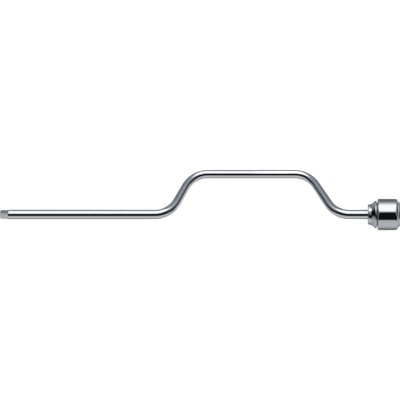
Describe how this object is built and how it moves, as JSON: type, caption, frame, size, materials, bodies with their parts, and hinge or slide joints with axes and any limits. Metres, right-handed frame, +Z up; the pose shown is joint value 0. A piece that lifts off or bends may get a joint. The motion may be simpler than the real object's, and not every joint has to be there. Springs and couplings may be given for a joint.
{
  "type": "speeder handle",
  "caption": "Cranked chrome speeder handle with a quarter-inch male drive square and sprung detent ball at one end and a free-turning round palm head on a thrust bearing at the other.",
  "frame": {"origin": "on the bench under the middle of the tool, which lies at rest on its drive end, its crank and its palm head", "axes": "+X along the tool from the drive square to the palm head, +Y across the bench to the crank side, +Z up from the bench; the tool's own axis rises 1.7 degrees towards the palm head, and its crank plane leans 9.0 degrees down to the bench"},
  "size_m": [0.3815, 0.0572, 0.0303],
  "materials": {
    "bar_chrome": "bright chrome plate on forged round bar",
    "head_chrome": "mirror chrome plate on a turned shell",
    "collar_chrome": "mirror chrome plate on a turned collar",
    "cap_chrome": "mirror chrome plate on a pressed cap",
    "bearing_steel": "ground and hardened bearing steel",
    "spring_steel": "oiled spring steel",
    "cage_brass": "plain pressed brass",
    "bush_bronze": "oil-filled sintered bronze",
    "seal_felt": "greased felt"
  },
  "bodies": {
    "bar": {"crank_bar": "bar_chrome", "thrust_collar": "collar_chrome", "fixed_race": "bearing_steel", "rear_washer": "bearing_steel", "circlip": "spring_steel", "detent_spring": "spring_steel"},
    "palm_head": {"palm_grip": "head_chrome", "end_cap": "cap_chrome", "palm_bush": "bush_bronze", "turning_race": "bearing_steel", "felt_seal": "seal_felt"},
    "ball_set": {"ball_cage": "cage_brass", "bearing_ball_1": "bearing_steel", "bearing_ball_2": "bearing_steel", "bearing_ball_3": "bearing_steel", "bearing_ball_4": "bearing_steel", "bearing_ball_5": "bearing_steel", "bearing_ball_6": "bearing_steel", "bearing_ball_7": "bearing_steel", "bearing_ball_8": "bearing_steel", "bearing_ball_9": "bearing_steel"},
    "detent": {"detent_ball": "bearing_steel"}
  },
  "joints": [
    {"name": "palm_spin", "type": "hinge", "parent": "bar", "child": "palm_head", "pos_m": [0.16701, -0.01368, 0.01487], "axis": [0.9996, 0, 0.0297], "continuous": true},
    {"name": "ball_set_spin", "type": "hinge", "parent": "bar", "child": "ball_set", "pos_m": [0.1688, -0.01368, 0.01492], "axis": [0.9996, 0, 0.0297], "continuous": true},
    {"name": "detent_press", "type": "slide", "parent": "bar", "child": "detent", "axis": [0.0174, -0.8092, -0.5873], "range_m": [-0.0005, 0], "stiffness_N_per_m": 800, "springref_m": 0.0008, "deforming": ["detent_spring"]}
  ],
  "couplings": [
    {"joint": "ball_set_spin", "follows": "palm_spin", "ratio": 0.5}
  ]
}
